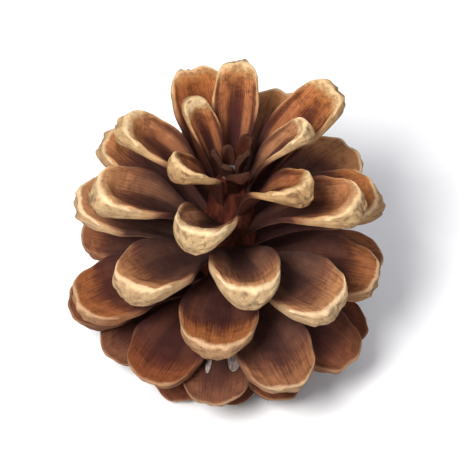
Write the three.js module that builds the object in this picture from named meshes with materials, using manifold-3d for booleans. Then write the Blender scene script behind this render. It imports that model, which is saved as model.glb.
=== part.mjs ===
// An open, ripe pine cone standing on its base. One woody body: a short stalk scar and
// a tapering axis that carries spirally set scales. Each scale is a thin spoon-shaped
// blade on a narrow claw, and ends in a thick keeled pad with a small boss on it.
// Millimetres, +Z up. The origin is the centre of the flat stalk scar, on the ground.

import * as THREE from "three";
import { mergeVertices } from "three/addons/utils/BufferGeometryUtils.js";
import Module from "manifold-3d";

const wasm = await Module();
wasm.setup();

// Driving dimensions
const coneRadius = 26;
const coneHeight = 54;
const scaleCount = 71;

// The spiral: each scale stands one turn step on from the one below it
const turnStep = THREE.MathUtils.degToRad(137.87);
const firstTurn = THREE.MathUtils.degToRad(94.5);

// How a scale changes from the stalk to the tip of the cone. Each row holds the order
// of the scale, the heights of its root and its tip as shares of the cone's height, how
// far out it reaches as a share of the cone's radius, its width, the lean of its pad in
// degrees, and the depths of its pad and of the cup in its blade as shares of its width.
const growth = [
  { order: 0, root: 0.13, tip: 0.04, reach: 0.27, width: 6.6, lean: 64, pad: 0.3, cup: 0.04 },
  { order: 10, root: 0.14, tip: 0.025, reach: 0.52, width: 9, lean: 60, pad: 0.3, cup: 0.04 },
  { order: 21, root: 0.175, tip: 0.03, reach: 0.73, width: 10.8, lean: 54, pad: 0.22, cup: 0.04 },
  { order: 30, root: 0.24, tip: 0.175, reach: 0.99, width: 12.6, lean: 50, pad: 0.14, cup: 0.04 },
  { order: 37, root: 0.31, tip: 0.28, reach: 1.07, width: 13.4, lean: 42, pad: 0.14, cup: 0.06 },
  { order: 44, root: 0.39, tip: 0.54, reach: 1.04, width: 13.2, lean: 26, pad: 0.19, cup: 0.08 },
  { order: 50, root: 0.455, tip: 0.68, reach: 0.96, width: 12.2, lean: 30, pad: 0.26, cup: 0.12 },
  { order: 56, root: 0.535, tip: 0.875, reach: 0.815, width: 9.9, lean: 34, pad: 0.3, cup: 0.17 },
  { order: 61, root: 0.61, tip: 0.955, reach: 0.525, width: 7.3, lean: 36, pad: 0.3, cup: 0.18 },
  { order: 63, root: 0.64, tip: 0.945, reach: 0.4, width: 5.4, lean: 36, pad: 0.3, cup: 0.17 },
  { order: 65, root: 0.67, tip: 0.88, reach: 0.16, width: 2.6, lean: 30, pad: 0.3, cup: 0.12 },
  { order: 70, root: 0.72, tip: 0.83, reach: 0.07, width: 2.2, lean: 20, pad: 0.3, cup: 0.1 },
];

// Proportions of one scale, as shares of its width, but of the pad's depth for the keel
// and the boss, and the least thickness
const clawShare = 0.34;
const bladeShare = 0.11;
const lipShare = 0.075;
const roundShare = 0.45;
const keelShare = 0.3;
const bossShare = 0.07;
const bowShare = 0.07;
const thinnest = 0.6;

// The ends of the scales are round low on the cone and blunter towards its tip
const roundPower = 2;
const bluntPower = 3.4;

// The axis: height share and radius, from the stalk scar to its tip. It flares under
// the crowded lowest scales.
const axisOutline = [
  [0, 3],
  [0.03, 3.2],
  [0.085, 6],
  [0.12, 12],
  [0.15, 12.5],
  [0.2, 8],
  [0.28, 6],
  [0.5, 4.8],
  [0.68, 3.4],
  [0.76, 1.8],
];
const axisSides = 12;
const rootSink = 0.4;

// No two scales are quite alike: small turns and lengths drawn from one seed
const seed = 1847762;
const turnWobble = THREE.MathUtils.degToRad(6);
const reachWobble = 0.05;
const heightWobble = 1.8;
const rollWobble = THREE.MathUtils.degToRad(6);

function draw(order, kind) {
  const value = Math.sin(order * 127.1 + kind * 311.7 + seed * 74.7) * 43758.5453;
  return 2 * (value - Math.floor(value)) - 1;
}

function smooth(value, low, high) {
  return THREE.MathUtils.smoothstep(value, low, high);
}

// A value of the growth table at any order, on a smooth curve through its rows
function grown(order, name) {
  let row = 0;
  while (row < growth.length - 2 && growth[row + 1].order < order) row += 1;
  const at = (index) => growth[THREE.MathUtils.clamp(index, 0, growth.length - 1)];
  const slope = (index) => {
    const [before, after] = [at(index - 1), at(index + 1)];
    return (after[name] - before[name]) / (after.order - before.order);
  };
  const [low, high] = [at(row), at(row + 1)];
  const span = high.order - low.order;
  const t = (order - low.order) / span;
  return (
    low[name] * (2 * t ** 3 - 3 * t ** 2 + 1) +
    slope(row) * span * (t ** 3 - 2 * t ** 2 + t) +
    high[name] * (3 * t ** 2 - 2 * t ** 3) +
    slope(row + 1) * span * (t ** 3 - t ** 2)
  );
}

function axisRadius(height) {
  const share = height / coneHeight;
  for (let i = 1; i < axisOutline.length; i += 1) {
    const [[lowShare, lowRadius], [highShare, highRadius]] = [axisOutline[i - 1], axisOutline[i]];
    if (share <= highShare) {
      return THREE.MathUtils.mapLinear(share, lowShare, highShare, lowRadius, highRadius);
    }
  }
  return 0;
}

// Where a scale stands and how large it is
function scaleAt(order) {
  const rootHeight = grown(order, "root") * coneHeight;
  const onBase = 1 - smooth(order, 16, 28);
  return {
    turn: firstTurn + order * turnStep + draw(order, 0) * turnWobble * (1 - 0.6 * onBase),
    rootHeight,
    rootRadius: axisRadius(rootHeight) * rootSink,
    tipRadius: grown(order, "reach") * coneRadius * (1 + draw(order, 1) * reachWobble),
    tipHeight: grown(order, "tip") * coneHeight + draw(order, 2) * heightWobble * (1 - onBase),
    roll: draw(order, 3) * rollWobble * (1 - onBase),
    width: grown(order, "width"),
    lean: THREE.MathUtils.degToRad(grown(order, "lean")),
    pad: grown(order, "pad"),
    cup: grown(order, "cup"),
    endPower: THREE.MathUtils.lerp(roundPower, bluntPower, smooth(order, 49, 56)),
  };
}

// Steps along, across and up: fewer on the crowded base and on the tiny last scales
function stepsAt(order) {
  if (order < 10) return [2, 4, 1];
  if (order < 21) return [2, 4, 2];
  if (order < 34) return [3, 4, 2];
  if (order < 43) return [4, 4, 2];
  return order < 63 ? [4, 6, 2] : [3, 2, 2];
}

// The solid of one scale: a box whose length, width and thickness are bent into place.
// along runs from the root, 0, to the pad, 1; across from -1 to 1; up from the
// underside, -1, to the upper face, 1.
function scaleGeometry(scale, [alongSteps, acrossSteps, upSteps]) {
  const radial = new THREE.Vector3(Math.cos(scale.turn), Math.sin(scale.turn), 0);
  const upward = new THREE.Vector3(0, 0, 1);
  const root = radial.clone().multiplyScalar(scale.rootRadius).addScaledVector(upward, scale.rootHeight);
  const tip = radial.clone().multiplyScalar(scale.tipRadius).addScaledVector(upward, scale.tipHeight);
  const chord = tip.clone().sub(root);
  const length = chord.length();
  const forward = chord.clone().normalize();
  const sideways = new THREE.Vector3().crossVectors(upward, radial).applyAxisAngle(forward, scale.roll);
  const above = new THREE.Vector3().crossVectors(forward, sideways).normalize();

  const { width, lean, pad, cup, endPower } = scale;
  const geometry = new THREE.BoxGeometry(1, 2, 2, alongSteps, acrossSteps, upSteps);
  const position = geometry.attributes.position;
  const point = new THREE.Vector3();
  for (let i = 0; i < position.count; i += 1) {
    const along = 1 - (0.5 - position.getX(i)) ** 1.25;
    const across = position.getY(i);
    const up = position.getZ(i);
    const down = up === 0 ? 0.55 : (1 - up) / 2;

    const spread = clawShare + (1 - clawShare) * smooth(along, 0.05, 0.8);
    const taper = 1 - 0.1 * smooth(along, 0.8, 1);
    const halfWidth = (width / 2) * spread * taper;

    const swelling = smooth(along, 0.62, 1);
    const padDepth = width * (lipShare + pad * (1 - Math.abs(across) ** 2.2));
    const bladeDepth = width * bladeShare * (1 - 0.45 * across ** 2);
    const depth = Math.max(thinnest, THREE.MathUtils.lerp(bladeDepth, padDepth, swelling));
    const hollow = width * cup * across ** 2 * smooth(along, 0.1, 0.6) * (1 - 0.55 * smooth(along, 0.7, 1));
    const bow = length * bowShare * 4 * along * (1 - along);

    const endCurve = 1 - Math.sqrt(1 - 0.9 * Math.abs(across) ** endPower);
    const roundness = width * roundShare * endCurve * smooth(along, 0.45, 1);
    const recede = Math.min(padDepth * Math.tan(lean), length * 0.55) * down * along ** 2;
    const onPad = along > 0.999 ? 1 : 0;
    const keel = (1 - Math.abs(across) ** 2.2) * (1 - up ** 2) * onPad;
    const boss = across === 0 && up === 0 ? onPad : 0;
    const bulge = width * pad * (keelShare * keel + bossShare * boss);

    point.copy(root);
    point.addScaledVector(forward, along * length - roundness - recede + bulge * Math.cos(lean));
    point.addScaledVector(sideways, across * halfWidth);
    point.addScaledVector(above, bow + hollow - depth * down - bulge * Math.sin(lean));
    position.setXYZ(i, point.x, point.y, point.z);
  }
  return geometry;
}

function axisGeometry() {
  const outline = axisOutline.map(([share, radius]) => new THREE.Vector2(radius, share * coneHeight));
  const top = outline[outline.length - 1].y + 0.6;
  const profile = [new THREE.Vector2(0, 0), ...outline, new THREE.Vector2(0, top)];
  return new THREE.LatheGeometry(profile, axisSides).rotateX(Math.PI / 2);
}

function solidOf(geometry) {
  const bare = geometry.clone();
  bare.deleteAttribute("normal");
  bare.deleteAttribute("uv");
  const merged = mergeVertices(bare, 1e-4);
  return new wasm.Manifold(
    new wasm.Mesh({
      numProp: 3,
      vertProperties: merged.attributes.position.array,
      triVerts: new Uint32Array(merged.index.array),
    }),
  );
}

function geometryOf(solid) {
  const mesh = solid.getMesh();
  const geometry = new THREE.BufferGeometry();
  geometry.setAttribute("position", new THREE.BufferAttribute(mesh.vertProperties, 3));
  geometry.setIndex(new THREE.BufferAttribute(mesh.triVerts, 1));
  geometry.computeVertexNormals();
  return geometry;
}

// The lowest pads are worn flat where the cone stands on them
function groundBlock() {
  const size = coneRadius * 4;
  return new THREE.BoxGeometry(size, size, size).translate(0, 0, -size / 2);
}

function coneGeometry() {
  let body = solidOf(axisGeometry());
  for (let order = 0; order < scaleCount; order += 1) {
    body = body.add(solidOf(scaleGeometry(scaleAt(order), stepsAt(order))));
  }
  return geometryOf(body.subtract(solidOf(groundBlock())));
}

const wood = new THREE.MeshStandardMaterial({ color: 0x8a5a34, roughness: 0.7, metalness: 0 });

const cone = new THREE.Mesh(coneGeometry(), wood);
cone.name = "cone";

const pineCone = new THREE.Group();
pineCone.add(cone);

export default pineCone;
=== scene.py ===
import math

import bmesh
import bpy
from mathutils import Matrix, Vector, noise


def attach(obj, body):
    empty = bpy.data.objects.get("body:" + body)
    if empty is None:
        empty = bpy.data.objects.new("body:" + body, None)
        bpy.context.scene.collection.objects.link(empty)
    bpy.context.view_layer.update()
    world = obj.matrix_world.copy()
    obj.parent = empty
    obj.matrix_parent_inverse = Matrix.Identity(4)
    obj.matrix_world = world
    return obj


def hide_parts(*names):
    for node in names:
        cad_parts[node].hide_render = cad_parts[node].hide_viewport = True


# an open pine cone: a tapering axis with scales set on it in a spiral
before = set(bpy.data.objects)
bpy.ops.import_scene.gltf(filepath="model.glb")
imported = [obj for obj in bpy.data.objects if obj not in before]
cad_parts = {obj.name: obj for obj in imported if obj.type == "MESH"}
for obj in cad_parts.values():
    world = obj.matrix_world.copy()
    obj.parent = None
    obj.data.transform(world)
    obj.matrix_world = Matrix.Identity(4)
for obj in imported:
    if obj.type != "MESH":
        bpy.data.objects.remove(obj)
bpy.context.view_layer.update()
print("frame loaded")

millimetre = 0.001

coneForm = {
    "radius": 26,
    "height": 54,
    "turnStep": math.radians(137.87),
    "firstTurn": math.radians(94.5),
    "rootSink": 0.4,
    "seed": 1847762,
    "turnWobble": math.radians(6),
    "reachWobble": 0.05,
    "heightWobble": 1.8,
    "rollWobble": math.radians(6),
    "lastOrder": 70,
}

# each scale's own chance values, by what they change
drawKinds = {"turn": 0, "reach": 1, "height": 2, "roll": 3, "tint": 7}

# how a scale changes with its order: heights of its root and tip as shares of the cone's height,
# reach as a share of the cone's radius, width in mm, lean of its pad in degrees, and the depths
# of its pad and of the cup in its blade as shares of its width
growthNames = ["order", "root", "tip", "reach", "width", "lean", "pad", "cup"]
growthRows = [
    dict(zip(growthNames, row))
    for row in [
        (0, 0.13, 0.04, 0.27, 6.6, 64, 0.3, 0.04),
        (10, 0.14, 0.025, 0.52, 9, 60, 0.3, 0.04),
        (21, 0.175, 0.03, 0.73, 10.8, 54, 0.22, 0.04),
        (30, 0.24, 0.175, 0.99, 12.6, 50, 0.14, 0.04),
        (37, 0.31, 0.28, 1.07, 13.4, 42, 0.14, 0.06),
        (44, 0.39, 0.54, 1.04, 13.2, 26, 0.19, 0.08),
        (50, 0.455, 0.68, 0.96, 12.2, 30, 0.26, 0.12),
        (56, 0.535, 0.875, 0.815, 9.9, 34, 0.3, 0.17),
        (61, 0.61, 0.955, 0.525, 7.3, 36, 0.3, 0.18),
        (63, 0.64, 0.945, 0.4, 5.4, 36, 0.3, 0.17),
        (65, 0.67, 0.88, 0.16, 2.6, 30, 0.3, 0.12),
        (70, 0.72, 0.83, 0.07, 2.2, 20, 0.3, 0.1),
    ]
]

# as shares of a scale's width, apart from those with a note of their own
scaleForm = {
    "claw": 0.34,
    "blade": 0.11,
    "lip": 0.075,
    "round": 0.45,
    "roundPower": 2,       # a power: round ends low on the cone
    "bluntPower": 3.4,     # a power: blunter ends towards its tip
    "keel": 0.3,           # of the pad's depth, as are the boss and the wrinkle
    "boss": 0.09,
    "wrinkle": 0.22,
    "bow": 0.07,           # of the scale's length
    "thinnest": 0.6,       # mm
    "rimRise": 0.035,      # upturned edge behind the lip
    "marginRise": 0.022,   # rolled side edges
    "wingHollow": 0.04,    # where the two winged seeds lay
    "grain": 0.012,
    "lump": 0.02,
    "edgeWaver": 0.06,     # of half the scale's width
    "endWaver": 0.05,
    "warp": 0.03,
    "channel": 0.085,      # groove along the middle of the upper scales
    "curl": 0.065,         # rolled end of the upper scales
}

axisForm = {
    "outline": [           # height as a share of the cone's, and radius in mm
        (0, 3), (0.03, 3.2), (0.085, 6), (0.12, 12), (0.15, 12.5),
        (0.2, 8), (0.28, 6), (0.5, 4.8), (0.68, 3.4), (0.76, 1.8),
    ],
    "tipRise": 0.6,
    "sides": 48,
    "cuts": 3,
    "lumpDepth": 0.35,     # mm
    "lumpScale": 450,      # lumps to a metre
    "lumpsFrom": 2,        # mm up, above the flat stalk scar
}


def draw(order, kind):
    # a chance value from -1 to 1 that is the same in each run
    value = math.sin(order * 127.1 + drawKinds[kind] * 311.7 + coneForm["seed"] * 74.7) * 43758.5453
    return 2 * (value - math.floor(value)) - 1


def smooth(value, low, high):
    t = min(max((value - low) / (high - low), 0), 1)
    return t * t * (3 - 2 * t)


def grown(order, name):
    # a value of the growth rows at any order, on a smooth curve through them
    last = len(growthRows) - 1
    row = 0
    while row < last - 1 and growthRows[row + 1]["order"] < order:
        row += 1

    def at(index):
        return growthRows[min(max(index, 0), last)]

    def slope(index):
        before, after = at(index - 1), at(index + 1)
        return (after[name] - before[name]) / (after["order"] - before["order"])

    low, high = at(row), at(row + 1)
    span = high["order"] - low["order"]
    t = (order - low["order"]) / span
    return (
        low[name] * (2 * t ** 3 - 3 * t ** 2 + 1)
        + slope(row) * span * (t ** 3 - 2 * t ** 2 + t)
        + high[name] * (3 * t ** 2 - 2 * t ** 3)
        + slope(row + 1) * span * (t ** 3 - t ** 2)
    )


def axisRadius(height):
    outline = axisForm["outline"]
    share = height / coneForm["height"]
    for (lowShare, lowRadius), (highShare, highRadius) in zip(outline, outline[1:]):
        if share <= highShare:
            return lowRadius + (highRadius - lowRadius) * (share - lowShare) / (highShare - lowShare)
    return 0


def scaleAt(order):
    # where a scale stands, which way it runs and how large it is
    endPowers = scaleForm["bluntPower"] - scaleForm["roundPower"]
    rootHeight = grown(order, "root") * coneForm["height"]
    onBase = 1 - smooth(order, 16, 28)
    turn = coneForm["firstTurn"] + order * coneForm["turnStep"]
    turn += draw(order, "turn") * coneForm["turnWobble"] * (1 - 0.6 * onBase)
    tipRadius = grown(order, "reach") * coneForm["radius"]
    tipRadius *= 1 + draw(order, "reach") * coneForm["reachWobble"]
    tipHeight = grown(order, "tip") * coneForm["height"]
    tipHeight += draw(order, "height") * coneForm["heightWobble"] * (1 - onBase)
    roll = draw(order, "roll") * coneForm["rollWobble"] * (1 - onBase)

    radial = Vector((math.cos(turn), math.sin(turn), 0))
    upward = Vector((0, 0, 1))
    root = radial * axisRadius(rootHeight) * coneForm["rootSink"] + upward * rootHeight
    chord = radial * tipRadius + upward * tipHeight - root
    forward = chord.normalized()
    sideways = Matrix.Rotation(roll, 3, forward) @ upward.cross(radial)
    return {
        "order": order,
        "root": root,
        "length": chord.length,
        "forward": forward,
        "sideways": sideways,
        "above": forward.cross(sideways).normalized(),
        "width": grown(order, "width"),
        "lean": math.radians(grown(order, "lean")),
        "pad": grown(order, "pad"),
        "cup": grown(order, "cup"),
        "endPower": scaleForm["roundPower"] + endPowers * smooth(order, 49, 56),
    }


def padFold(order, across, up):
    # wrinkles that run out from the boss, sharp in the hollows
    out = Vector((across, 0.6 * up, 0))
    ray = out.normalized() * 2.2 if out.length > 0.01 else Vector((0, 0, 0))
    value = noise.noise(ray + Vector((0, 0, order * 4.9 + out.length * 1.6)))
    value += 0.5 * noise.noise(Vector((across * 5, up * 3.5, order * 2.7)))
    return abs(value) * 2.4 - 0.5


def scalePoint(scale, along, across, up):
    # along 0 root to 1 pad, across -1 to 1, up -1 underside to 1 upper face
    form = scaleForm
    width, length, lean, order = scale["width"], scale["length"], scale["lean"], scale["order"]
    side = abs(across)
    down = 0.55 * (1 - up) if up >= 0 else 0.55 - 0.45 * up

    spread = form["claw"] + (1 - form["claw"]) * smooth(along, 0.05, 0.8)
    taper = 1 - 0.1 * smooth(along, 0.8, 1)
    waver = noise.noise(Vector((along * 4, across * 1.5, order * 3.1))) * form["edgeWaver"]
    halfWidth = width / 2 * spread * taper * (1 + waver)

    swelling = smooth(along, 0.62, 1)
    padDepth = width * (form["lip"] + scale["pad"] * (1 - side ** 2.2))
    bladeDepth = width * form["blade"] * (1 - 0.45 * side ** 2)
    depth = max(form["thinnest"], bladeDepth + (padDepth - bladeDepth) * swelling)
    hollow = width * scale["cup"] * side ** 2 * smooth(along, 0.1, 0.6) * (1 - 0.55 * smooth(along, 0.7, 1))
    bow = length * form["bow"] * 4 * along * (1 - along)

    endCurve = 1 - math.sqrt(1 - 0.9 * min(side, 1) ** scale["endPower"])
    roundness = width * form["round"] * endCurve * smooth(along, 0.45, 1)
    nick = noise.noise(Vector((across * 2.4, order * 6.1, 0.3 * up)))
    roundness += width * form["endWaver"] * nick * smooth(along, 0.6, 1)
    recede = min(padDepth * math.tan(lean), length * 0.55) * down * along ** 2
    onPad = 1 if along > 0.999 else 0
    keel = (1 - side ** 2.2) * (1 - abs(up) ** 1.25) * onPad
    boss = math.exp(-((across / 0.26) ** 2) - (up / 0.34) ** 2) * onPad
    bulge = width * scale["pad"] * (form["keel"] * keel + form["boss"] * boss)

    # finer relief
    window = smooth(along, 0.12, 0.35) * (1 - smooth(along, 0.74, 0.88))
    wings = math.exp(-(((side - 0.44) / 0.2) ** 2)) * window * (0.5 + 0.5 * up)
    rim = math.exp(-(((along - 0.985) / 0.045) ** 2)) * (0.5 + 0.5 * up)
    warp = noise.noise(Vector((along * 2.2, across * 1.1, order * 5.7))) * form["warp"]
    grain = noise.noise(Vector((along * 5, across * 9, order * 2.3 + up)))
    relief = width * (form["rimRise"] * rim - form["wingHollow"] * wings + warp * smooth(along, 0.1, 0.4))
    margin = math.exp(-(((side - 0.92) / 0.1) ** 2)) * smooth(along, 0.3, 0.6) * (0.5 + 0.5 * up)
    lump = noise.noise(Vector((along * 8, across * 3.5, order * 7.3 + up)))
    relief += width * (form["marginRise"] * margin + form["grain"] * grain * (1 - rim))
    relief += width * form["lump"] * lump * along
    high = smooth(order, 40, 54) * (0.5 + 0.5 * up)   # only on the upper scales
    trough = (1 - smooth(side, 0.05, 0.6)) * smooth(along, 0.15, 0.4) * (1 - smooth(along, 0.84, 0.96))
    curl = math.exp(-(((along - 0.93) / 0.05) ** 2)) + 0.8 * margin
    relief += width * high * (form["curl"] * curl - form["channel"] * trough)
    fold = padFold(order, across, up) * onPad * (1 - side ** 4) * (1 - up ** 4)
    bulge += width * scale["pad"] * form["wrinkle"] * fold

    point = scale["root"].copy()
    point += scale["forward"] * (along * length - roundness - recede + bulge * math.cos(lean))
    point += scale["sideways"] * (across * halfWidth)
    point += scale["above"] * (bow + hollow + relief - depth * down - bulge * math.sin(lean))
    point.z = max(point.z, 0)
    return point * millimetre


def cutBlock(steps):
    # a cube cut into a grid, with as many steps along each of its own axes
    block = bmesh.new()
    bmesh.ops.create_cube(block, size=2)
    for axis, count in enumerate(steps):
        ways = [e for e in block.edges if abs((e.verts[0].co - e.verts[1].co)[axis]) > 1e-6]
        bmesh.ops.subdivide_edges(block, edges=ways, cuts=count - 1, use_grid_fill=True)
    mesh = bpy.data.meshes.new("block")
    block.to_mesh(mesh)
    block.free()
    return mesh


def addBlock(bm, mesh):
    # adds a block to a piece, and gives its vertices
    first = len(bm.verts)
    bm.from_mesh(mesh)
    bm.verts.ensure_lookup_table()
    return bm.verts[first:]


def growScales(name, orders, steps, material):
    bm = bmesh.new()
    place = bm.verts.layers.float_vector.new("place")
    tint = bm.verts.layers.float.new("tint")
    rise = bm.verts.layers.float.new("rise")
    fold = bm.verts.layers.float.new("fold")
    block = cutBlock(steps)
    for order in orders:
        scale = scaleAt(order)
        for vert in addBlock(bm, block):
            x, across, up = vert.co
            along = 1 - ((1 - x) / 2) ** 1.25
            vert[place] = Vector((along, across, up))
            vert[tint] = draw(order, "tint") * 0.5 + 0.5
            vert[rise] = order / coneForm["lastOrder"]
            vert[fold] = padFold(order, across, up)
            vert.co = scalePoint(scale, along, across, up)
    bpy.data.meshes.remove(block)
    bmesh.ops.recalc_face_normals(bm, faces=bm.faces)
    finishPiece(name, bm, material)


# two papery seed wings left on one of the lower scales: where each starts and ends along
# the scale, and its middle and half its width across it; thickness, lift and curl in mm
wingForm = {
    "order": 30,
    "wings": [(0.5, 0.735, 0.52, 0.2), (0.53, 0.745, -0.22, 0.09)],
    "steps": (8, 6, 2),
    "thickness": 0.14,
    "lift": 0.25,
    "curl": 0.2,
}


def layWings(name, material):
    bm = bmesh.new()
    scale = scaleAt(wingForm["order"])
    block = cutBlock(wingForm["steps"])
    for start, end, middle, half in wingForm["wings"]:
        for vert in addBlock(bm, block):
            t = (vert.co.x + 1) / 2
            narrowing = 0.35 + 0.65 * math.sqrt(1 - t ** 3)
            across = middle + half * vert.co.y * narrowing
            surface = scalePoint(scale, start + (end - start) * t, across, 1)
            curl = wingForm["curl"] * (t ** 2 + 0.4 * vert.co.y ** 2)
            lift = wingForm["lift"] * (t - 0.2) + curl + wingForm["thickness"] / 2 * vert.co.z
            vert.co = surface + scale["above"] * lift * millimetre
    bpy.data.meshes.remove(block)
    bmesh.ops.recalc_face_normals(bm, faces=bm.faces)
    finishPiece(name, bm, material)


def finishPiece(name, bm, material):
    mesh = bpy.data.meshes.new(name)
    bm.to_mesh(mesh)
    bm.free()
    mesh.polygons.foreach_set("use_smooth", [True] * len(mesh.polygons))
    mesh.materials.append(material)
    piece = bpy.data.objects.new(name, mesh)
    bpy.context.scene.collection.objects.link(piece)
    rounding = piece.modifiers.new("rounding", "SUBSURF")
    rounding.levels = 1
    rounding.render_levels = 1
    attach(piece, "root")
    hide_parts("cone")
    print("made", name)


def turnAxis(name, material):
    bm = bmesh.new()
    height = coneForm["height"]
    profile = [(0, 0)] + [(radius, share * height) for share, radius in axisForm["outline"]]
    profile.append((0, profile[-1][1] + axisForm["tipRise"]))
    verts = [bm.verts.new(Vector((radius, 0, z)) * millimetre) for radius, z in profile]
    edges = [bm.edges.new(pair) for pair in zip(verts, verts[1:])]
    bmesh.ops.subdivide_edges(bm, edges=edges[2:], cuts=axisForm["cuts"])
    bmesh.ops.spin(
        bm, geom=bm.verts[:] + bm.edges[:], cent=(0, 0, 0), axis=(0, 0, 1),
        angle=2 * math.pi, steps=axisForm["sides"], use_merge=True,
    )
    bmesh.ops.remove_doubles(bm, verts=bm.verts, dist=1e-6)
    bmesh.ops.recalc_face_normals(bm, faces=bm.faces)
    for vert in bm.verts:
        lump = noise.noise(vert.co * axisForm["lumpScale"]) * axisForm["lumpDepth"] * millimetre
        if vert.co.z > axisForm["lumpsFrom"] * millimetre:
            vert.co += Vector((vert.co.x, vert.co.y, 0)).normalized() * lump
    finishPiece(name, bm, material)


class Wire:
    # wraps an output socket, so that shader maths reads as plain Python
    def __init__(self, tree, socket):
        self.tree = tree
        self.socket = socket

    def work(self, operation, *values):
        node = self.tree.nodes.new("ShaderNodeMath")
        node.operation = operation
        for socket, value in zip(node.inputs, values):
            plug(self.tree, socket, value)
        return Wire(self.tree, node.outputs[0])

    def __add__(self, other):
        return self.work("ADD", self, other)

    def __radd__(self, other):
        return self.work("ADD", other, self)

    def __sub__(self, other):
        return self.work("SUBTRACT", self, other)

    def __rsub__(self, other):
        return self.work("SUBTRACT", other, self)

    def __mul__(self, other):
        return self.work("MULTIPLY", self, other)

    def __rmul__(self, other):
        return self.work("MULTIPLY", other, self)

    def __truediv__(self, other):
        return self.work("DIVIDE", self, other)

    def __rtruediv__(self, other):
        return self.work("DIVIDE", other, self)

    def __abs__(self):
        return self.work("ABSOLUTE", self)


def plug(tree, socket, value):
    if isinstance(value, Wire):
        tree.links.new(value.socket, socket)
    else:
        socket.default_value = value


class Finish:
    # one material and the nodes that are added to it; _0, _1 and so on are sockets by number
    def __init__(self, name):
        self.material = bpy.data.materials.new(name)
        self.material.use_nodes = True
        self.tree = self.material.node_tree
        self.shader = self.tree.nodes["Principled BSDF"]

    def node(self, kind, settings=None, output=0, **values):
        made = self.tree.nodes.new(kind)
        for key, value in (settings or {}).items():
            if key == "stops":
                self.setStops(made.color_ramp, value)
            else:
                setattr(made, key, value)
        for key, value in values.items():
            plug(self.tree, made.inputs[int(key[1:]) if key[1:].isdigit() else key], value)
        return Wire(self.tree, made.outputs[output])

    def setStops(self, ramp, stops):
        while len(ramp.elements) < len(stops):
            ramp.elements.new(1)
        for element, (position, colour) in zip(ramp.elements, stops):
            element.position = position
            element.color = colour

    def step(self, value, low, high):
        return self.node(
            "ShaderNodeMapRange", {"interpolation_type": "SMOOTHSTEP"}, _0=value, _1=low, _2=high,
        )

    def mix(self, share, first, second):
        return self.node("ShaderNodeMix", {"data_type": "RGBA"}, output=2, _0=share, _6=first, _7=second)

    def noise(self, vector, scale, detail=3, roughness=0.6):
        return self.node(
            "ShaderNodeTexNoise", Vector=vector, Scale=scale, Detail=detail, Roughness=roughness,
        )

    def vector(self, operation, first, second=None, **values):
        if second is not None:
            values["_1"] = second
        return self.node("ShaderNodeVectorMath", {"operation": operation}, _0=first, **values)

    def join(self, x, y, z):
        return self.node("ShaderNodeCombineXYZ", _0=x, _1=y, _2=z)

    def split(self, vector):
        parts = self.node("ShaderNodeSeparateXYZ", _0=vector).socket.node.outputs
        return [Wire(self.tree, part) for part in parts]

    def set(self, **values):
        for key, value in values.items():
            plug(self.tree, self.shader.inputs[key.replace("_", " ")], value)


woodColours = {
    # root and inner: dark near the root of a scale, partly the wood's own colour and partly painted shade
    # from the scales above
    "root": (0.058, 0.023, 0.019, 1),
    "inner": (0.075, 0.024, 0.016, 1),
    "wing": (0.400, 0.145, 0.055, 1),
    "streak": (0.050, 0.015, 0.012, 1),
    "roll": (0.740, 0.540, 0.300, 1),
    "rollShade": (0.430, 0.235, 0.095, 1),
    "padShade": (0.230, 0.122, 0.056, 1),
    # dark of the pad's creases, which is painted shade, and of chips in the rolled ends
    "creaseShadeAndChip": (0.085, 0.036, 0.018, 1),
    "boss": (0.200, 0.125, 0.085, 1),
    "under": (0.130, 0.050, 0.030, 1),
    # apex: the last small scales, in the hollow at the tip, near black: painted shade
    "apex": (0.058, 0.017, 0.010, 1),
}

# how the tones change from the lowest scales, darkened with painted shade, to the bright upper ones, by the
# rise of a scale, from 0 at the base to 1 at the tip
woodTones = {
    "face": [
        (0.46, (0.088, 0.026, 0.018, 1)),
        (0.60, (0.205, 0.056, 0.022, 1)),
        (0.80, (0.250, 0.072, 0.027, 1)),
    ],
    "band": [
        (0.46, (0.150, 0.050, 0.024, 1)),
        (0.62, (0.320, 0.118, 0.038, 1)),
        (0.80, (0.450, 0.178, 0.058, 1)),
    ],
    "rim": [
        (0.46, (0.220, 0.110, 0.055, 1)),
        (0.60, (0.460, 0.250, 0.115, 1)),
        (0.80, (0.600, 0.370, 0.180, 1)),
    ],
    # lip: partly the pad's pale rim and partly a painted highlight on its top edge
    "lip": [
        (0.46, (0.280, 0.155, 0.080, 1)),
        (0.60, (0.560, 0.360, 0.200, 1)),
        (0.80, (0.700, 0.490, 0.262, 1)),
    ],
    "pad": [
        (0.46, (0.230, 0.120, 0.062, 1)),
        (0.62, (0.350, 0.205, 0.104, 1)),
        (0.80, (0.475, 0.308, 0.142, 1)),
    ],
}

# how many patches of each kind there are to a metre, and the relief that the grain gives
woodGrain = {
    "blotch": 240,
    "patch": 520,
    "mottle": 620,
    "chip": 800,
    "speck": 1600,
    "bump": 0.7,
    "bumpDepth": 0.0005,
}
woodSpecular = 0.06


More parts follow.
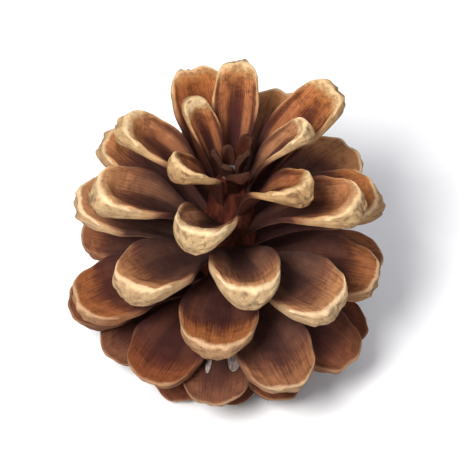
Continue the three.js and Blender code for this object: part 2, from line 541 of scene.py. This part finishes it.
def scaleWood():
    finish = Finish("cone_scale_wood")
    colours = woodColours
    place = finish.node("ShaderNodeAttribute", {"attribute_name": "place"}, output=1)
    tint = finish.node("ShaderNodeAttribute", {"attribute_name": "tint"}, output=2)
    rise = finish.node("ShaderNodeAttribute", {"attribute_name": "rise"}, output=2)
    fold = finish.node("ShaderNodeAttribute", {"attribute_name": "fold"}, output=2)
    along, across, up = finish.split(place)
    side = abs(across)
    spot = finish.node("ShaderNodeTexCoord", output=3)
    blotch = finish.noise(spot, woodGrain["blotch"], 4, 0.6)
    speck = finish.noise(spot, woodGrain["speck"], 3, 0.7)

    # each scale has its own grain
    shift = finish.join(tint * 37, tint * 11, rise * 53)
    own = finish.vector("ADD", place, shift)
    fibre = finish.noise(finish.vector("MULTIPLY", own, (1.2, 8, 0.5)), 3.2, 4, 0.65)
    fineFibre = finish.noise(finish.vector("MULTIPLY", own, (2.2, 27, 1)), 3, 3, 0.6)
    rings = finish.noise(finish.vector("MULTIPLY", own, (15, 1.8, 0.5)), 1.6, 4, 0.7)

    # upper face, from the dark root to the warm band behind the lip; the dark towards the root is partly
    # the wood's own colour and partly painted shade from the scales above
    wander = (blotch - 0.5) * 0.16
    ragged = (speck - 0.5) * 0.07 + wander * 0.3
    high = finish.step(rise, 0.69, 0.83)   # 1 on the upper scales
    top = finish.step(rise, 0.74, 0.83)    # starts a little higher
    tone = {}
    for name, stops in woodTones.items():
        tone[name] = finish.node("ShaderNodeValToRGB", {"stops": stops}, Fac=rise)
    # how far in the face colour reaches past the painted shade: further on the upper scales, and more or
    # less by each scale's tint
    reachIn = high * 0.26 + (tint - 0.5) * 0.16
    upper = finish.mix(finish.step(along, 0.6 - reachIn, 0.84), colours["root"], colours["inner"])
    fanned = along + wander + (fineFibre - 0.5) * 0.24 + (fibre - 0.5) * 0.16
    upper = finish.mix(finish.step(fanned, 0.74 - reachIn, 0.93), upper, tone["face"])
    upper = finish.mix(finish.step(fanned, 0.77 - high * 0.1, 0.95), upper, tone["band"])
    lobes = finish.step(abs(side - 0.58), 0.3, 0.1) * finish.step(along, 0.25, 0.6)
    lobes = lobes * finish.step(along, 0.99, 0.86)
    upper = finish.mix(lobes * (0.1 + high * 0.6), upper, colours["wing"])
    groove = finish.step(side + (fibre - 0.5) * 0.45, 0.38, 0.08) * finish.step(along, 0.93, 0.76)
    upper = finish.mix(groove * (0.35 + high * 0.4), upper, colours["streak"])
    seam = finish.step(abs(side + (blotch - 0.5) * 0.12 - 0.79), 0.1, 0.02) * finish.step(along, 0.4, 0.7)
    upper = finish.mix(seam * top * 0.6, upper, colours["streak"])
    arc = finish.step(rings, 0.5, 0.36) * finish.step(along, 0.6, 0.8)
    upper = finish.mix(arc * 0.28, upper, colours["streak"])
    upper = finish.mix(finish.step(fibre, 0.5, 0.26) * 0.6, upper, colours["streak"])
    edge = finish.step(along + wander, 0.7 - top * 0.12, 0.95 - top * 0.06)
    edge = finish.step(side + ragged, 0.85, 0.93) * edge
    upper = finish.mix(edge * (0.3 + top * 0.45), upper, tone["rim"])
    # painted glint: lighter streaks along the fibres on the wing marks of the upper scales
    pale = finish.step(fineFibre, 0.52, 0.68) * lobes * high
    upper = finish.mix(pale * 0.4, upper, tone["rim"])

    # rolled end of the upper scales, pale and broken by chips and a dark line
    chip = finish.step(finish.noise(spot, woodGrain["chip"], 4, 0.7), 0.52, 0.42)
    fleck = chip * finish.step(along, 0.6, 0.82) * finish.step(side, 1, 0.7) * top
    upper = finish.mix(fleck * 0.45, upper, colours["streak"])
    small = finish.step(rise, 0.885, 0.898) * 0.07   # the last scales are short, so it is longer on them
    rollStart = 0.93 - small - tint * 0.03
    behind = finish.step(along + ragged * 1.6, rollStart - 0.05, rollStart + 0.02) * top
    patch = finish.step(finish.noise(spot, woodGrain["patch"], 3, 0.6), 0.42, 0.6)
    upper = finish.mix(behind * (0.3 + patch * 0.6), upper, colours["rollShade"])
    roll = finish.step(along + ragged * 0.8, rollStart + 0.005, rollStart + 0.05) * top
    upper = finish.mix(roll * (0.35 + patch * 0.6), upper, colours["roll"])
    upper = finish.mix(roll * chip * (1 - patch * 0.6) * 0.55, upper, colours["creaseShadeAndChip"])
    gutter = finish.step(abs(along + ragged * 0.6 + small - 0.962), 0.02, 0.006) * top
    upper = finish.mix(gutter * (0.9 - patch * 0.55), upper, colours["rollShade"])

    # pad: wrinkles run out from the boss, with painted shade in their hollows, and the lower half is greyer
    # with painted shade
    spread = finish.join(across, up * 0.6, 0)
    reach = finish.node("ShaderNodeVectorMath", {"operation": "LENGTH"}, output=1, _0=spread)
    ray = finish.vector("SCALE", finish.vector("NORMALIZE", spread), Scale=2.2)
    ray = finish.vector("ADD", ray, finish.join(tint * 17, rise * 29, reach * 0.9))
    wrinkle = finish.noise(ray, 2.6, 4, 0.7)
    # painted shade in the hollows of the wrinkles, both of the shader's wrinkles and of the folds in the
    # mesh
    creaseShade = 1 - (1 - finish.step(wrinkle, 0.44, 0.3) * 0.5) * (1 - finish.step(fold, -0.1, -0.45) * 0.75)
    pad = finish.mix(finish.step(blotch, 0.6, 0.42) * 0.35, tone["pad"], colours["padShade"])
    pad = finish.mix(finish.step(speck, 0.5, 0.36) * 0.4, pad, colours["padShade"])
    # the lower half of the pad darker: painted shade where it turns away from the light
    pad = finish.mix(finish.step(up + (blotch - 0.5) * 0.6, 0.1, -0.4) * 0.55, pad, colours["padShade"])
    pad = finish.mix(creaseShade * finish.step(side, 1, 0.72) * 0.75, pad, colours["creaseShadeAndChip"])
    pad = finish.mix(finish.step(reach, 0.16, 0.05) * 0.3, pad, colours["boss"])
    flank = finish.step(side + wander, 0.5, 0.95) * (1 - finish.step(rise, 0.54, 0.64))
    pad = finish.mix(flank * 0.7, pad, tone["face"])

    # underside
    under = finish.mix(finish.step(along + wander, 0.5, 0.98), colours["under"], colours["padShade"])
    under = finish.mix(finish.step(fibre, 0.56, 0.36) * 0.6, under, colours["streak"])
    body = finish.mix(finish.step(up, 0.2, -0.9), upper, under)
    edgeOn = finish.step(side, 0.95, 0.99) * finish.step(along + wander, 0.7, 0.98)
    body = finish.mix(edgeOn, body, pad)
    onPad = finish.step(along, 0.984, 0.998)
    body = finish.mix(onPad, body, pad)
    # lip: a pale line along the top edge of the pad, partly its own pale rim and partly a painted highlight
    lip = finish.step(along + (speck - 0.5) * 0.03, 0.972, 0.992)
    lip = lip * finish.step(up + (blotch - 0.5) * 0.8, 0.6, 0.95)
    body = finish.mix(lip * (0.55 + blotch * 0.5) * (1 - flank * 0.6), body, tone["lip"])
    # the last small scales, in the hollow at the tip, near black: painted shade
    body = finish.mix(finish.step(rise, 0.903, 0.912) * 0.97, body, colours["apex"])

    # small changes of tone within a scale, and from one scale to the next
    mottle = finish.noise(spot, woodGrain["mottle"], 2, 0.5)
    shade = 0.2 + fineFibre * 0.6 + rings * 0.5 + mottle * 0.6
    body = finish.vector("SCALE", body, Scale=shade)
    body = finish.node(
        "ShaderNodeHueSaturation",
        Hue=0.494 + tint * 0.012, Saturation=1.04 - tint * 0.14, Value=0.88 + tint * 0.24, Color=body,
    )
    finish.set(Base_Color=body, Roughness=0.72 - lobes * 0.14 + onPad * 0.08)
    finish.set(Specular_IOR_Level=woodSpecular)

    woody = fibre * 0.5 + fineFibre * 0.35 + rings * 0.3
    height = woody * (1 - onPad) + (wrinkle * 1.4 + speck * 0.3) * onPad
    bump = finish.node(
        "ShaderNodeBump", Strength=woodGrain["bump"], Distance=woodGrain["bumpDepth"], Height=height,
    )
    finish.set(Normal=bump)
    return finish.material


axisColours = {
    "dark": (0.045, 0.011, 0.008, 1),
    "light": (0.130, 0.031, 0.016, 1),
    # tip: the very tip of the axis, pale pinkish grey, a painted highlight
    "tip": (0.20, 0.18, 0.21, 1),
    "tipFrom": 40.6,       # mm up, as is tipTo
    "tipTo": 41.2,
    "grain": 900,
    "bump": 0.6,
    "bumpDepth": 0.0004,
}


def axisWood():
    finish = Finish("cone_axis_wood")
    spot = finish.node("ShaderNodeTexCoord", output=3)
    height = finish.split(spot)[2] / millimetre
    grain = finish.noise(finish.vector("MULTIPLY", spot, (1, 1, 0.3)), axisColours["grain"], 4, 0.6)
    colour = finish.mix(finish.step(grain, 0.35, 0.7), axisColours["dark"], axisColours["light"])
    # painted highlight on the very tip of the axis
    tipHighlight = finish.step(height, axisColours["tipFrom"], axisColours["tipTo"])
    colour = finish.mix(tipHighlight, colour, axisColours["tip"])
    finish.set(Base_Color=colour, Roughness=0.8)
    finish.set(Specular_IOR_Level=woodSpecular)
    bump = finish.node(
        "ShaderNodeBump", Strength=axisColours["bump"], Distance=axisColours["bumpDepth"], Height=grain,
    )
    finish.set(Normal=bump)
    return finish.material


wingColours = {"vein": (0.20, 0.145, 0.130, 1), "skin": (0.44, 0.350, 0.325, 1), "veins": 900}


def wingSkin():
    finish = Finish("cone_seed_wing_skin")
    spot = finish.node("ShaderNodeTexCoord", output=3)
    veins = finish.noise(finish.vector("MULTIPLY", spot, (3, 1, 1)), wingColours["veins"], 3, 0.6)
    colour = finish.mix(finish.step(veins, 0.35, 0.65), wingColours["vein"], wingColours["skin"])
    finish.set(Base_Color=colour, Roughness=0.6)
    return finish.material


# first order, order past the last, and the steps along, across and through a scale
scaleGroups = {
    "base_scales": (0, 21, (9, 8, 4)),
    "lower_scales": (21, 37, (16, 18, 8)),
    "middle_scales": (37, 50, (18, 22, 12)),
    "upper_scales": (50, 63, (18, 22, 12)),
    "tip_scales": (63, 71, (12, 10, 4)),
}

wood = scaleWood()
turnAxis("axis", axisWood())
for name, (first, past, steps) in scaleGroups.items():
    growScales(name, range(first, past), steps, wood)
layWings("seed_wings", wingSkin())

floorForm = {"size": 3, "colour": (0.88, 0.885, 0.9, 1), "roughness": 0.7}


def layFloor():
    bm = bmesh.new()
    bmesh.ops.create_grid(bm, x_segments=2, y_segments=2, size=floorForm["size"] / 2)
    mesh = bpy.data.meshes.new("floor")
    bm.to_mesh(mesh)
    bm.free()
    floor = bpy.data.objects.new("floor", mesh)
    bpy.context.scene.collection.objects.link(floor)
    finish = Finish("pale_floor")
    finish.set(Base_Color=floorForm["colour"], Roughness=floorForm["roughness"])
    mesh.materials.append(finish.material)


viewForm = {
    "elevation": math.radians(47.4),
    "roll": math.radians(3.6),
    "target": Vector((0.0012, 0, 0.0255)),
    "distance": 0.8,
    "lens": 362,
    "sensor": 36,
    "clip": (0.01, 20),
}


def setCamera():
    camera = bpy.data.objects.new("camera", bpy.data.cameras.new("camera"))
    bpy.context.scene.collection.objects.link(camera)
    back = Vector((0, -math.cos(viewForm["elevation"]), math.sin(viewForm["elevation"])))
    look = (-back).to_track_quat("-Z", "Y").to_matrix()
    turned = look @ Matrix.Rotation(viewForm["roll"], 3, "Z")
    place = viewForm["target"] + back * viewForm["distance"]
    camera.matrix_world = Matrix.Translation(place) @ turned.to_4x4()
    camera.data.lens = viewForm["lens"]
    camera.data.sensor_width = viewForm["sensor"]
    camera.data.clip_start, camera.data.clip_end = viewForm["clip"]
    bpy.context.scene.camera = camera


lightForm = {
    "key": {"place": (-0.31, -0.54, 0.78), "size": 0.36, "power": 13, "colour": (1, 0.985, 0.96)},
    "fill": {"place": (0.6, -0.5, 0.45), "size": 0.6, "power": 0.7, "colour": (0.9, 0.95, 1)},
    "back": {"place": (0.05, 0.7, 0.6), "size": 0.6, "power": 1.2, "colour": (1, 1, 1)},
}
roomForm = {"lightsAim": (0, 0, 0.02), "colour": (0.95, 0.95, 1, 1), "strength": 0.48}


def setLights():
    for name, form in lightForm.items():
        data = bpy.data.lights.new(name, "AREA")
        data.shape = "DISK"
        data.size = form["size"]
        data.energy = form["power"]
        data.color = form["colour"]
        lamp = bpy.data.objects.new(name, data)
        bpy.context.scene.collection.objects.link(lamp)
        place = Vector(form["place"])
        aim = (Vector(roomForm["lightsAim"]) - place).to_track_quat("-Z", "Y")
        lamp.matrix_world = Matrix.Translation(place) @ aim.to_matrix().to_4x4()
    world = bpy.data.worlds.new("soft_room")
    world.use_nodes = True
    background = world.node_tree.nodes["Background"]
    background.inputs["Color"].default_value = roomForm["colour"]
    background.inputs["Strength"].default_value = roomForm["strength"]
    bpy.context.scene.world = world
    bpy.context.scene.view_settings.view_transform = "Standard"


layFloor()
setCamera()
setLights()
print("stage set")

bpy.context.view_layer.update()
